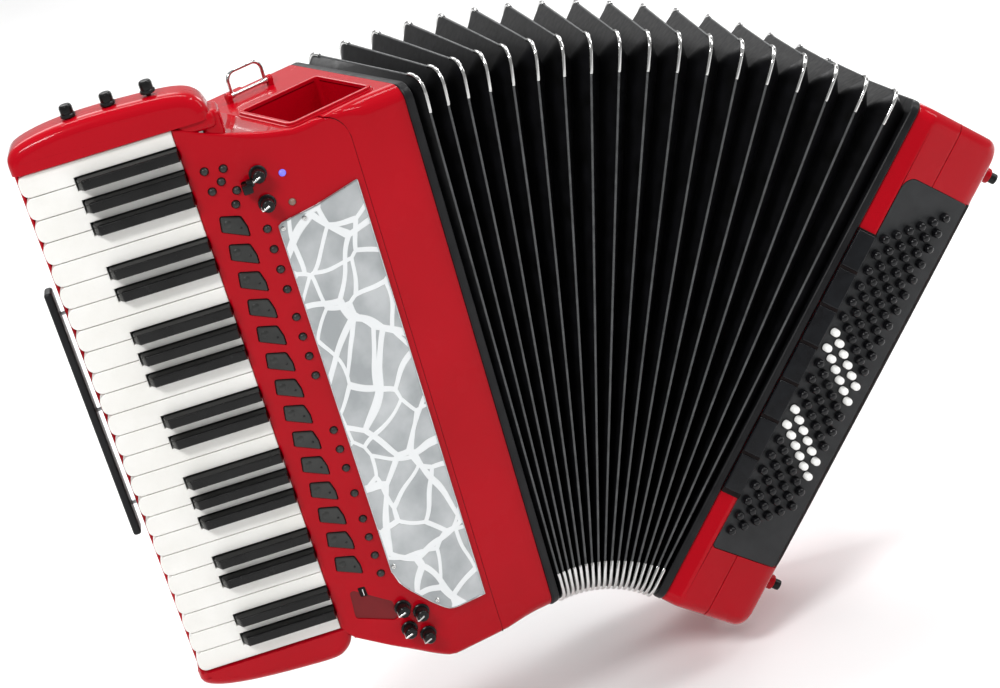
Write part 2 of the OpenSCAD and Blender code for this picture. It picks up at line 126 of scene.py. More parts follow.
# ---------------------------------------------------------------- materials
def material(name, c1, c2, rough=(0.3, 0.4), metal=0.0, coat=0.0, spec=0.5, scale=30, bump=0.05,
             bump_scale=600, coat_rough=0.06, emit=None, spots=None, ior=1.4):
    m = bpy.data.materials.new(name)
    m.use_nodes = True
    nt = m.node_tree
    N, L = nt.nodes, nt.links
    b = N["Principled BSDF"]
    b.inputs["Metallic"].default_value = metal
    b.inputs["Coat Weight"].default_value = coat
    b.inputs["Coat Roughness"].default_value = coat_rough
    b.inputs["Specular IOR Level"].default_value = spec
    b.inputs["IOR"].default_value = ior
    b.inputs["Coat IOR"].default_value = ior
    co = N.new("ShaderNodeTexCoord")
    n1 = N.new("ShaderNodeTexNoise")
    n1.inputs["Scale"].default_value = scale
    n1.inputs["Detail"].default_value = 5
    L.new(co.outputs["Object"], n1.inputs["Vector"])
    ramp = N.new("ShaderNodeValToRGB")
    ramp.color_ramp.elements[0].position, ramp.color_ramp.elements[1].position = 0.3, 0.7
    ramp.color_ramp.elements[0].color = (*c1, 1)
    ramp.color_ramp.elements[1].color = (*c2, 1)
    L.new(n1.outputs["Fac"], ramp.inputs["Fac"])
    colour = ramp.outputs["Color"]
    if spots:                      # fine darker specks
        n3 = N.new("ShaderNodeTexNoise")
        n3.inputs["Scale"].default_value = spots[0]
        L.new(co.outputs["Object"], n3.inputs["Vector"])
        r3 = N.new("ShaderNodeMapRange")
        r3.inputs["From Min"].default_value, r3.inputs["From Max"].default_value = 0.55, 0.75
        r3.inputs["To Min"].default_value, r3.inputs["To Max"].default_value = 0, spots[1]
        L.new(n3.outputs["Fac"], r3.inputs["Value"])
        mix = N.new("ShaderNodeMix")
        mix.data_type = "RGBA"
        L.new(r3.outputs["Result"], mix.inputs["Factor"])
        L.new(colour, mix.inputs["A"])
        mix.inputs["B"].default_value = (*spots[2], 1)
        colour = mix.outputs["Result"]
    L.new(colour, b.inputs["Base Color"])
    n2 = N.new("ShaderNodeTexNoise")
    n2.inputs["Scale"].default_value = scale * 2.7
    n2.inputs["Detail"].default_value = 6
    L.new(co.outputs["Object"], n2.inputs["Vector"])
    mr = N.new("ShaderNodeMapRange")
    mr.inputs["From Min"].default_value, mr.inputs["From Max"].default_value = 0.3, 0.7
    mr.inputs["To Min"].default_value, mr.inputs["To Max"].default_value = rough
    L.new(n2.outputs["Fac"], mr.inputs["Value"])
    L.new(mr.outputs["Result"], b.inputs["Roughness"])
    if bump:
        n4 = N.new("ShaderNodeTexNoise")
        n4.inputs["Scale"].default_value = bump_scale
        n4.inputs["Detail"].default_value = 3
        L.new(co.outputs["Object"], n4.inputs["Vector"])
        bp = N.new("ShaderNodeBump")
        bp.inputs["Strength"].default_value = bump
        bp.inputs["Distance"].default_value = 0.0006
        L.new(n4.outputs["Fac"], bp.inputs["Height"])
        L.new(bp.outputs["Normal"], b.inputs["Normal"])
    if emit:
        b.inputs["Emission Color"].default_value = (*emit[0], 1)
        b.inputs["Emission Strength"].default_value = emit[1]
    return m


RED = material("red_lacquer", (0.37, 0.0003, 0.006), (0.42, 0.0006, 0.008), (0.22, 0.30), coat=1.0, spec=0.12,
               scale=9, bump=0.02, bump_scale=260, coat_rough=0.035, ior=1.21)
# darker copy of the red lacquer: painted shade for the inside of the tray
RED_TRAY_SHADE = material("red_painted_tray_shade", (0.24, 0.001, 0.006), (0.30, 0.002, 0.008), (0.42, 0.55), spec=0.3, scale=14,
                 bump=0.1)
# darkest red: painted shade at the bottom of the slanted recess
RED_RECESS_SHADE = material("red_painted_recess_shade", (0.13, 0.001, 0.003), (0.19, 0.002, 0.005), (0.3, 0.4), spec=0.4, scale=20,
                   bump=0.08)
IVORY = material("key_white", (0.80, 0.79, 0.75), (0.86, 0.85, 0.82), (0.16, 0.24), coat=0.35, scale=25,
                 bump=0.03, bump_scale=300, spots=(420, 0.05, (0.6, 0.58, 0.5)))
EBONY = material("key_black", (0.004, 0.004, 0.004), (0.009, 0.009, 0.009), (0.18, 0.28), scale=40, bump=0.05,
                 bump_scale=900, ior=1.3)
VINYL = material("bellows_cloth", (0.002, 0.002, 0.002), (0.005, 0.005, 0.006), (0.28, 0.42), scale=60,
                 bump=0.12, bump_scale=900, ior=1.24)
# dark grey of the ridge tape, lightened to paint the highlights along the bellows ridges; the strap stitching uses the
# same grey as its own colour
GREY_TAPE_AND_SHEEN = material("grey_tape_and_painted_sheen", (0.045, 0.047, 0.048), (0.085, 0.088, 0.09), (0.35, 0.5), scale=90, bump=0.3,
                bump_scale=2200)
CHROME = material("chrome", (0.50, 0.50, 0.49), (0.66, 0.66, 0.65), (0.08, 0.18), metal=1.0, scale=50,
                  bump=0.04, bump_scale=700)
STEEL = material("steel", (0.42, 0.43, 0.44), (0.55, 0.56, 0.57), (0.25, 0.4), metal=1.0, scale=80, bump=0.1)
RUBBER = material("black_trim", (0.005, 0.005, 0.006), (0.011, 0.011, 0.012), (0.32, 0.45), scale=50,
                  bump=0.08, bump_scale=1300, ior=1.28)
SATIN = material("control_black", (0.005, 0.005, 0.006), (0.012, 0.012, 0.012), (0.22, 0.34), ior=1.3,
                 scale=70, bump=0.1, bump_scale=1500)
TAB = material("register_grey", (0.016, 0.017, 0.016), (0.030, 0.031, 0.029), (0.28, 0.4), scale=60,
               bump=0.12, bump_scale=1500)
BOARDM = material("board_grey", (0.016, 0.017, 0.018), (0.024, 0.025, 0.027), (0.42, 0.55), spec=0.35,
                  scale=45, bump=0.25, bump_scale=1800, spots=(900, 0.3, (0.015, 0.016, 0.018)))
DOME = material("button_black", (0.003, 0.003, 0.004), (0.007, 0.007, 0.008), (0.14, 0.22), scale=90,
                bump=0.03, ior=1.36)
GLOSS = material("tab_black", (0.004, 0.004, 0.005), (0.009, 0.010, 0.012), (0.12, 0.2), scale=60, bump=0.02,
                 ior=1.3)
# white button plastic with a faint emission: a painted glow, the buttons are no lamp
WHITE_BUTTON_GLOW = material("button_white_painted_glow", (0.78, 0.78, 0.76), (0.86, 0.86, 0.84), (0.2, 0.3), coat=0.2, scale=90,
                 bump=0.03, emit=((1, 1, 0.98), 0.12))
STRAP = material("strap_leather", (0.010, 0.009, 0.009), (0.024, 0.022, 0.021), (0.45, 0.62), scale=70,
                 bump=0.5, bump_scale=900)
# near-black: painted shade at the bottom of openings, in gaps and under the keys; at the socket it is the socket's own
# black
SOCKET_BLACK_AND_SHADE = material("socket_black_and_painted_shade", (0.004, 0.002, 0.002), (0.010, 0.005, 0.005), (0.5, 0.65), spec=0.2, scale=60,
                bump=0.1)
GREEN = material("circuit_green", (0.008, 0.07, 0.03), (0.015, 0.11, 0.05), (0.35, 0.5), scale=120, bump=0.2,
                 bump_scale=500, spots=(700, 0.6, (0.3, 0.25, 0.1)))
CONE = material("speaker_cone", (0.015, 0.015, 0.015), (0.03, 0.03, 0.03), (0.6, 0.8), scale=90, bump=0.5,
                bump_scale=700)
VIOLET = material("lamp_violet", (0.10, 0.10, 0.62), (0.20, 0.18, 0.80), (0.15, 0.25), coat=0.4, scale=200,
                  bump=0, emit=((0.16, 0.14, 0.9), 0.5))
SMOKE = material("lamp_off", (0.16, 0.09, 0.07), (0.26, 0.17, 0.13), (0.15, 0.25), coat=0.4, scale=200, bump=0)
MARK = material("pointer_white", (0.62, 0.62, 0.60), (0.74, 0.74, 0.72), (0.25, 0.35), metal=0.4, scale=300,
                bump=0)


def grille_material():
    """White veins on brushed silver: two sizes of cells, bent by noise, along the plate's own UV."""
    m = bpy.data.materials.new("grille_silver")
    m.use_nodes = True
    nt = m.node_tree
    N, L = nt.nodes, nt.links
    b = N["Principled BSDF"]

    def math_node(op, a, c=None):
        n = N.new("ShaderNodeMath")
        n.operation = op
        L.new(a, n.inputs[0])
        if c is not None:
            if isinstance(c, (int, float)):
                n.inputs[1].default_value = c
            else:
                L.new(c, n.inputs[1])
        return n.outputs[0]
    uv = N.new("ShaderNodeUVMap")
    warp = N.new("ShaderNodeTexNoise")
    warp.inputs["Scale"].default_value = 1.1
    warp.inputs["Detail"].default_value = 1
    L.new(uv.outputs["UV"], warp.inputs["Vector"])
    sub = N.new("ShaderNodeVectorMath")
    sub.operation = "SUBTRACT"
    L.new(warp.outputs["Color"], sub.inputs[0])
    sub.inputs[1].default_value = (0.5, 0.5, 0.5)
    mul = N.new("ShaderNodeVectorMath")
    mul.operation = "SCALE"
    L.new(sub.outputs["Vector"], mul.inputs[0])
    mul.inputs["Scale"].default_value = 0.5
    add = N.new("ShaderNodeVectorMath")
    add.operation = "ADD"
    L.new(uv.outputs["UV"], add.inputs[0])
    L.new(mul.outputs["Vector"], add.inputs[1])
    masks = []
    for scale, rnd, w in ((1.45, 1.0, 0.045), (2.5, 1.0, 0.058)):
        v = N.new("ShaderNodeTexVoronoi")
        v.feature = "DISTANCE_TO_EDGE"
        v.voronoi_dimensions = "2D"
        v.inputs["Scale"].default_value = scale
        v.inputs["Randomness"].default_value = rnd
        L.new(add.outputs["Vector"], v.inputs["Vector"])
        r = N.new("ShaderNodeMapRange")
        r.interpolation_type = "SMOOTHSTEP"
        r.inputs["From Min"].default_value, r.inputs["From Max"].default_value = w * 0.88, w * 1.1
        r.inputs["To Min"].default_value, r.inputs["To Max"].default_value = 1, 0
        L.new(v.outputs["Distance"], r.inputs["Value"])
        masks.append(r.outputs["Result"])
    vein = math_node("MAXIMUM", masks[0], masks[1])
    n1 = N.new("ShaderNodeTexNoise")
    n1.inputs["Scale"].default_value = 2.2
    n1.inputs["Detail"].default_value = 4
    L.new(uv.outputs["UV"], n1.inputs["Vector"])
    cell = N.new("ShaderNodeValToRGB")
    cell.color_ramp.elements[0].position, cell.color_ramp.elements[1].position = 0.36, 0.66
    cell.color_ramp.elements[0].color = (0.33, 0.35, 0.36, 1)
    cell.color_ramp.elements[1].color = (0.50, 0.52, 0.53, 1)
    L.new(n1.outputs["Fac"], cell.inputs["Fac"])
    white = N.new("ShaderNodeValToRGB")
    white.color_ramp.elements[0].color = (0.72, 0.74, 0.75, 1)
    white.color_ramp.elements[1].color = (0.84, 0.86, 0.87, 1)
    L.new(n1.outputs["Fac"], white.inputs["Fac"])
    mix = N.new("ShaderNodeMix")
    mix.data_type = "RGBA"
    L.new(vein, mix.inputs["Factor"])
    L.new(cell.outputs["Color"], mix.inputs["A"])
    L.new(white.outputs["Color"], mix.inputs["B"])
    L.new(mix.outputs["Result"], b.inputs["Base Color"])
    rr = N.new("ShaderNodeMapRange")
    rr.inputs["To Min"].default_value, rr.inputs["To Max"].default_value = 0.30, 0.42
    L.new(vein, rr.inputs["Value"])
    L.new(rr.outputs["Result"], b.inputs["Roughness"])
    mm = N.new("ShaderNodeMapRange")
    mm.inputs["To Min"].default_value, mm.inputs["To Max"].default_value = 0.55, 0.15
    L.new(vein, mm.inputs["Value"])
    L.new(mm.outputs["Result"], b.inputs["Metallic"])
    bp = N.new("ShaderNodeBump")
    bp.inputs["Strength"].default_value = 0.5
    bp.inputs["Distance"].default_value = 0.0008
    L.new(vein, bp.inputs["Height"])
    L.new(bp.outputs["Normal"], b.inputs["Normal"])
    return m


SILVER = grille_material()


# ---------------------------------------------------------------- mesh building
def merge(bm, M, target):
    """Moves a mesh by its frame, adds it to target and frees it."""
    bmesh.ops.recalc_face_normals(bm, faces=bm.faces[:])
    bmesh.ops.transform(bm, matrix=M, verts=bm.verts[:])
    if M.determinant() < 0:
        bmesh.ops.reverse_faces(bm, faces=bm.faces[:])
    tmp = bpy.data.meshes.new("tmp")
    bm.to_mesh(tmp)
    bm.free()
    target.from_mesh(tmp)
    bpy.data.meshes.remove(tmp)


class Part:
    """Collects pieces of geometry, given in millimetres of some frame, into one object."""

    def __init__(self, name):
        self.name, self.bm, self.mats = name, bmesh.new(), []

    def add(self, bm, M, mat):
        if mat not in self.mats:
            self.mats.append(mat)
        i = self.mats.index(mat)
        for f in bm.faces:
            f.material_index = i
            f.smooth = True
        merge(bm, M, self.bm)

    def done(self, body, nodes, angle=32, weighted=True):
        me = bpy.data.meshes.new(self.name)
        self.bm.to_mesh(me)
        self.bm.free()
        for m in self.mats:
            me.materials.append(m)
        me.set_sharp_from_angle(angle=rad(angle))
        ob = bpy.data.objects.new(self.name, me)
        scene.collection.objects.link(ob)
        if weighted:
            w = ob.modifiers.new("weighted", "WEIGHTED_NORMAL")
            w.keep_sharp = True
        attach(ob, body)
        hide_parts(*([nodes] if isinstance(nodes, str) else nodes))
        return ob


def box(x0, x1, y0, y1, z0, z1, r=1.0, seg=3):
    bm = bmesh.new()
    bmesh.ops.create_cube(bm, size=1, matrix=T((x0 + x1) / 2, (y0 + y1) / 2, (z0 + z1) / 2)
                          @ Matrix.Diagonal((x1 - x0, y1 - y0, z1 - z0, 1)))
    r = min(r, (x1 - x0) * 0.45, (y1 - y0) * 0.45, (z1 - z0) * 0.45)
    if r > 0:
        bmesh.ops.bevel(bm, geom=bm.edges[:], offset=r, segments=seg, profile=0.5, affect="EDGES",
                        clamp_overlap=True)
    return bm


def round_poly(pts, n=6):
    """Outline with rounded corners; each point is (x, z, radius)."""
    out = []
    m = len(pts)
    for i in range(m):
        p = Vector(pts[i][:2])
        r = pts[i][2] if len(pts[i]) > 2 else 0
        if r <= 0:
            out.append(p)
            continue
        a, c = (Vector(pts[i - 1][:2]) - p), (Vector(pts[(i + 1) % m][:2]) - p)
        half = a.angle(c) / 2
        d = min(r / math.tan(half), a.length * 0.49, c.length * 0.49)
        rr = d * math.tan(half)
        centre = p + (a.normalized() + c.normalized()).normalized() * (rr / math.sin(half))
        s, e = p + a.normalized() * d - centre, p + c.normalized() * d - centre
        turn = s.angle_signed(e)
        for j in range(n + 1):
            v = s.copy()
            t = -turn * j / n
            out.append(centre + Vector((v.x * math.cos(t) - v.y * math.sin(t),
                                        v.x * math.sin(t) + v.y * math.cos(t))))
    return out


def slab(outline, y0, y1, r=1.0, seg=3, back=False):
    """A plate in the XZ plane from y0 to y1 with rounded edges on the y1 side (and the back)."""
    bm = bmesh.new()
    lo = [bm.verts.new((p[0], y0, p[1])) for p in outline]
    hi = [bm.verts.new((p[0], y1, p[1])) for p in outline]
    n = len(outline)
    bm.faces.new(lo)
    top = bm.faces.new(hi)
    for i in range(n):
        bm.faces.new((lo[i], lo[(i + 1) % n], hi[(i + 1) % n], hi[i]))
    bmesh.ops.recalc_face_normals(bm, faces=bm.faces[:])
    if r > 0:
        edges = list(top.edges)
        if back:
            edges += [e for e in bm.edges if all(abs(v.co.y - y0) < 1e-6 for v in e.verts)]
        bmesh.ops.bevel(bm, geom=edges, offset=r, segments=seg, profile=0.5, affect="EDGES", clamp_overlap=True)
    return bm


def bridge(bm, rings, ends="caps"):
    """Joins rings of vertices with faces; the ends are capped, joined into a loop or left open."""
    n = len(rings[0])
    for a, b in zip(rings, rings[1:] + rings[:1] if ends == "loop" else rings[1:]):
        for j in range(n):
            bm.faces.new((a[j], a[(j + 1) % n], b[(j + 1) % n], b[j]))
    if ends == "caps":
        bm.faces.new(rings[0])
        bm.faces.new(rings[-1])


def lathe(profile, n=24, centre=(0, 0, 0), axis="y"):
    """Revolves (radius, height) points about the y axis (or x, z) through centre."""
    bm = bmesh.new()
    rings = []
    for r, h in profile:
        ring = []
        for i in range(n):
            a = 2 * math.pi * i / n
            c, s = r * math.cos(a), r * math.sin(a)
            p = {"y": (c, h, s), "z": (c, s, h), "x": (h, c, s)}[axis]
            ring.append(bm.verts.new(Vector(p) + Vector(centre)))
        rings.append(ring)
    bridge(bm, rings)
    return bm


def fluted(profile, flute, low, high, axis="y"):
    """A turned knob of 48 sides, with flutes between two heights."""
    bm, n, rings = bmesh.new(), 48, []
    for r, h in profile:
        ring = []
        for i in range(n):
            rr, a = r + (flute if i % 4 < 2 and low < h < high else 0), 2 * math.pi * i / n
            c, s = rr * math.cos(a), rr * math.sin(a)
            ring.append(bm.verts.new((c, h, s) if axis == "y" else (c, s, h)))
        rings.append(ring)
    bridge(bm, rings)
    return bm


def tube(path, r, n=10, closed_path=False):
    """A round wire along the points of path."""
    pts = [Vector(p) for p in path]
    m = len(pts)
    bm = bmesh.new()
    rings, side = [], None
    for i, p in enumerate(pts):
        a = pts[i - 1] if (i or closed_path) else p
        b = pts[(i + 1) % m] if (i < m - 1 or closed_path) else p
        d = (b - a).normalized()
        if side is None:
            side = d.orthogonal().normalized()
        side = (side - d * side.dot(d)).normalized()
        up = d.cross(side)
        rings.append([bm.verts.new(p + side * (r * math.cos(2 * math.pi * j / n))
                                   + up * (r * math.sin(2 * math.pi * j / n))) for j in range(n)])
    bridge(bm, rings, "loop" if closed_path else "caps")
    return bm


def section(y0, y1, z0, z1, rfb, rbb, rbt, rft, n=6):
    """Rounded rectangle in the YZ plane; the radii are front/back, bottom/top."""
    out = []
    lim = min(y1 - y0, z1 - z0)
    corners = ((0, 0, rfb, 180), (1, 0, rbb, 270), (1, 1, rbt, 0), (0, 1, rft, 90))
    for by, bz, r, a0 in corners:
        r = max(min(r, lim * (0.8 if r > 1 else 0.15)), 0.05)
        cy = (y1 - r) if by else (y0 + r)
        cz = (z1 - r) if bz else (z0 + r)
        for j in range(n + 1):
            a = rad(a0 + 90 * j / n)
            out.append((cy + r * math.cos(a), cz + r * math.sin(a)))
    return out


def loft(stations):
    """Joins (x, section) pairs into a closed shell."""
    bm = bmesh.new()
    bridge(bm, [[bm.verts.new((x, y, z)) for y, z in sec] for x, sec in stations])
    return bm


def cut(ob, cutters):
    """Takes cutters, each a mesh with its frame, out of an object."""
    me = bpy.data.meshes.new("cutter")
    bm = bmesh.new()
    for c, M in cutters:
        merge(c, M, bm)
    bm.to_mesh(me)
    bm.free()
    tool = bpy.data.objects.new("cutter", me)
    scene.collection.objects.link(tool)
    mod = ob.modifiers.new("cut", "BOOLEAN")
    mod.operation, mod.solver, mod.object = "DIFFERENCE", "MANIFOLD", tool
    while ob.modifiers[0] != mod:
        bpy.context.view_layer.objects.active = ob
        with bpy.context.temp_override(object=ob):
            bpy.ops.object.modifier_move_to_index(modifier="cut", index=0)
    weighted = [m for m in ob.modifiers if m.type == "WEIGHTED_NORMAL"]
    for w in weighted:
        w.show_viewport = False
    dg = bpy.context.evaluated_depsgraph_get()
    new = bpy.data.meshes.new_from_object(ob.evaluated_get(dg))
    for w in weighted:
        w.show_viewport = True
    ob.modifiers.remove(mod)
    old = ob.data
    name = old.name
    ob.data = new
    bpy.data.meshes.remove(old)
    new.name = name
    bpy.data.objects.remove(tool)
    for p in new.polygons:
        p.use_smooth = True
    new.set_sharp_from_angle(angle=rad(32))


def lerp_table(x, table):
    if x >= table[0][0]:
        return table[0][1]
    for (x0, v0), (x1, v1) in zip(table, table[1:]):
        if x >= x1:
            return v0 + (v1 - v0) * (x0 - x) / (x0 - x1)
    return table[-1][1]


# ---------------------------------------------------------------- treble body and front cover
# outlines seen from above (x, y) and from the front (x, z)
FRONT = [(0, 3), (-52, 12.6), (-90, 19.6), (-95, 20.6), (-100, 22.2), (-104, 24.1), (-110, 27.1), (-174, 55.5),
         (-180.7, 59.3)]
TOPZ = [(-96, 515), (-101, 515.8), (-113, 518), (-148, 529), (-160, 534), (-172, 541), (-181, 544.6)]
LOWZ = [(-98, 0), (-104, 1.2), (-113, 6), (-147, 31), (-173, 51), (-181, 62)]
BACK = [(-97.9, 160), (-130, 146), (-143, 118), (-148, 95)]


def y_front(x):
    return lerp_table(x, FRONT)


def z_top(x):
    return lerp_table(x, TOPZ)


def z_low(x):
    return lerp_table(x, LOWZ)


def depth(x):
    """Thickness of the front cover."""
    return lerp_table(x, [(-128, 8), (-148, 3.0), (-176, 2.6)])


def arc_top(x):
    """Upper outline of the front cover: it curves away towards the tray."""
    if x > SEAM_X:
        return min(SEAM_Z + math.sqrt(max(SEAM_R ** 2 - (x - SEAM_X) ** 2, 0)), HEIGHT)
    return z_top(x)


p = Part("treble_shell")
st = []
for x in (0, -1, -8, -16, -24, -32, -40, -46, -52):
    r = lerp_table(x, [(-20, 13.5), (-46, 6.5)])
    st.append((x, section(y_front(x), DEPTH, 0, HEIGHT, r, 13.5, 13.5, lerp_table(x, [(-36, 13.5), (-52, 7)]))))
for x in (-52.02, -60, -70, -80, -86, -90, -92.5, -94.5, -96, -97, -97.8):
    back = DEPTH - 8 + math.sqrt(max(64 - min(0, x + 90) ** 2, 0.1))
    st.append((x, section(y_front(x) + depth(x) + 0.25, back, 0.3, HEIGHT, 0.3, 8, 8, 0.3)))
for x in (-97.9, -104, -113, -122, -130, -137, -143, -148):
    st.append((x, section(y_front(x) + depth(x) + 0.25, lerp_table(x, BACK), z_low(x) + 0.3, z_top(x),
                          0.3, 10, 10, 0.3)))
p.add(loft(st), ROW, RED)
# corner of the shell beside the curved end of the seam
st = []
for x in (-51.9, -52.6, -54, -56, -58.5, -61, -64, -67, -70):
    zc = arc_top(x) + 0.55
    r = lerp_table(x, [(-52, 7), (-64, 6)])
    if zc < 514.5:
        st.append((x, section(y_front(x), y_front(x) + 9, zc, HEIGHT, 0.4, 0.3, 0.3,
                               min(r, HEIGHT - zc))))
p.add(loft(st), ROW, RED)
# cap of the neck, closing it up to the end block of the keyboard
st = []
for x, zb in ((-120, 500), (-148, 505), (-158, 512), (-163, 520), (-163.5, 535), (-172, 535), (-181, 536),
              (-184, 537)):
    y0 = y_front(x) + (2.4 if x > -181 else 4)
    st.append((x, section(y0, 140 + (x + 120) * 0.75, zb, z_top(x) - 0.1, 1, 2, 3, 2)))
p.add(loft(st), ROW, RED)
p.add(box(-37, -5, -33.5, 0.6, 535, 549, 5, 5), KEYS, RED)
p.add(box(-41, -24, -33.5, -2.5, 512, 549, 5, 5), KEYS, RED)
# seats of the keyboard frame
p.add(box(-38, -24, -34, -7, 496, 543, 2), KEYS, RED)
p.add(box(-38, -22.2, -34, -7, 44, 84, 2), KEYS, RED)
shell = p.done("treble", "treble_body")
cut(shell, [(box(*TRAY, 457, 540, 3.5, 4), ROW)])

p = Part("tray")
# tray floor in the darker red, painting the shade inside the tray
p.add(box(*TRAY, 456.6, 457.6, 0.3), ROW, RED_TRAY_SHADE)      # floor


def ring_path(x0, x1, y0, y1, z, r, n=5):
    out = []
    for cx, cy, a0 in ((x1 - r, y1 - r, 0), (x0 + r, y1 - r, 90), (x0 + r, y0 + r, 180), (x1 - r, y0 + r, 270)):
        for j in range(n + 1):
            a = rad(a0 + 90 * j / n)
            out.append((cx + r * math.cos(a), cy + r * math.sin(a), z))
    return out


def frame_ring(x0, x1, y0, y1, z0, z1, w, r, e=0.7):
    """A flat rectangular ring, w wide, with rounded upper edges."""
    bm = bmesh.new()
    prof = [(0, z0), (0, z1 - e), (e * 0.3, z1 - e * 0.3), (e, z1), (w - e, z1), (w - e * 0.3, z1 - e * 0.3),
            (w, z1 - e), (w, z0)]
    rings = []
    for d, z in prof:
        rings.append([bm.verts.new(q) for q in ring_path(x0 - w + d, x1 + w - d, y0 - w + d, y1 + w - d, z,
                                                         max(r + w - d, 0.5))])
    bridge(bm, rings, "loop")
    return bm


p.add(frame_ring(*TRAY, 514.2, 516.1, 6.0, 3), ROW, RED)
p.add(frame_ring(*TRAY, 516.0, 518.2, 4.2, 3, 1.0), ROW, RED)
# lugs of the strap loop
for x in (-80, -38):
    p.add(box(x - 2, x + 2, 151, 159, 513, 522, 1.2), ROW, RED)
    p.add(lathe([(2.2, -2.3), (3.9, -2.0), (4.0, 2.0), (2.2, 2.3)], 20, (x, 155, 520), "x"), ROW, RED)
p.done("treble", "treble_body")

p = Part("front_cover_panel")
st = []
xs = [-52.5, -53.2, -55, -58, -61, -64, -67, -70, -74, -78, -84, -90, -93, -96, -98, -100, -102, -104, -107, -110,
      -118, -128, -138, -147, -156, -165, -171, -173, -174, -175, -178, -180, -180.7]
for x in xs:
    d = depth(x)
    rt = lerp_table(x, [(-62, 0.6), (-80, 5.5)])
    e = 0.5 if x < -180.5 else 0.0
    st.append((x, section(y_front(x) + e, y_front(x) + d, z_low(x) + 0.05, arc_top(x) - 0.05,
                          min(6.5, d * 0.75), 0.3, 0.3, min(rt, d * 0.75))))
p.add(loft(st), ROW, RED)
cover = p.done("treble", "front_cover")

REG_OUT = [(76.6, -2.4, 1.4), (54.6, -13.2, 1.2), (54.4, -4, 9), (57.2, 6.6, 3.6), (74.6, 11.6, 2.2)]
cutters = []
for z in TAB_Z:
    cutters.append((slab(round_poly([(a, b + z, c) for a, b, c in REG_OUT], 4), -2.8, 4, 0), PANEL))
PUSH_Z = (440.5, 422, 403.5, 385, 359, 340.5, 322, 303.5, 250, 231.2, 212.5, 187, 161, 142.2, 123.4, 104.6)
BUTTONS = [(40.2, z) for z in PUSH_Z] + [(74, 503.4), (58.8, 500.9), (63.6, 491), (54, 480), (73.1, 485.3),
                                         (58.3, 469)]
LAMPS = ((14.5, 482.2), (14, 456))
for u, z in BUTTONS:
    cutters.append((lathe([(3.75, -1.9), (3.75, 3)], 24, (u, 0, z)), PANEL))
for u, z in LAMPS:
    cutters.append((lathe([(3.3, -1.9), (3.3, 3)], 24, (u, 0, z)), PANEL))
cutters.append((box(40.5, 49.5, -2.4, 4, 476.5, 485.5, 2), PANEL))
recess = round_poly([(71.5, 99.5, 3), (73.6, 69.6, 4), (34.4, 52.6, 5), (38.4, 74.5, 3)])
cutters.append((slab(recess, -1.2, 4, 0), PANEL))
cut(cover, cutters)

# dark liners at the bottom of the control openings: painted shade in the holes and in the slanted recess
p = Part("control_painted_shade_liners")
recess = round_poly([(71.3, 99.2, 3), (73.4, 69.8, 4), (34.6, 52.9, 5), (38.6, 74.3, 3)])
p.add(slab(recess, -1.4, -1.1, 0), PANEL, RED_RECESS_SHADE)
for z in TAB_Z:
    p.add(slab(round_poly([(a, b + z, c) for a, b, c in REG_OUT], 4), -2.95, -2.3, 0), PANEL, SOCKET_BLACK_AND_SHADE)
for u, z in BUTTONS:
    p.add(lathe([(3.7, -2.2), (3.7, -1.85)], 20, (u, 0, z)), PANEL, SOCKET_BLACK_AND_SHADE)
p.add(box(40.6, 49.4, -2.6, -1.9, 476.6, 485.4, 0.3), PANEL, SOCKET_BLACK_AND_SHADE)
# the socket in the slanted recess
socket = round_poly([(57.0, 88.0, 1), (63.4, 88.6, 1), (64.0, 98, 1), (57.6, 97.4, 1)])
p.add(slab(socket, -0.8, 0.45, 0.2), PANEL, SOCKET_BLACK_AND_SHADE)
p.add(box(59.6, 60.6, 0.2, 1.2, 89.4, 96.2, 0.3), PANEL, CHROME)
p.done("treble", "front_cover")

# thin shadow line where the cover meets the shell
p = Part("cover_gap")
path = [(-52.27, y_front(-52.27) + 0.75, z) for z in range(2, 490, 12)]
for j in range(10):
    a = rad(90 * j / 9)
    x, z = SEAM_X + (SEAM_R + 0.25) * math.cos(a), SEAM_Z + (SEAM_R + 0.25) * math.sin(a)
    if x > -66:
        path.append((x, y_front(x) + 0.75 + max(0, z - 509) * 0.35, z))
p.add(tube(path, 0.6, 6), ROW, SOCKET_BLACK_AND_SHADE)
p.done("treble", "front_cover", weighted=False)

# ---------------------------------------------------------------- grille
GR = [(-59.5, 11.9), (-70, 13.9), (-82, 16.0), (-90, 17.5), (-94, 18.3), (-98, 19.3), (-101, 20.4), (-104, 21.7),
      (-108, 23.6), (-116, 27.2), (-124, 30.8), (-130, 33.5)]


def densify(pts, step):
    out = []
    for a, b in zip(pts, pts[1:]):
        n = max(1, int(math.dist(a, b) / step))
        out += [(a[0] + (b[0] - a[0]) * i / n, a[1] + (b[1] - a[1]) * i / n) for i in range(n)]
    return out + [pts[-1]]


def grille_low(x):
    """Lower edge: straight, then a rounded slope towards the keyboard."""
    return lerp_table(x, [(-60, 46.5), (-88, 47.2), (-93, 48.6), (-97, 51.4), (-102, 56.5), (-108, 63.4),
                          (-122, 82), (-127, 90.5), (-129, 96), (-130, 103)])


def grille_high(x):
    return lerp_table(x, [(-60, 455), (-128, 442.4), (-130, 440.4)])


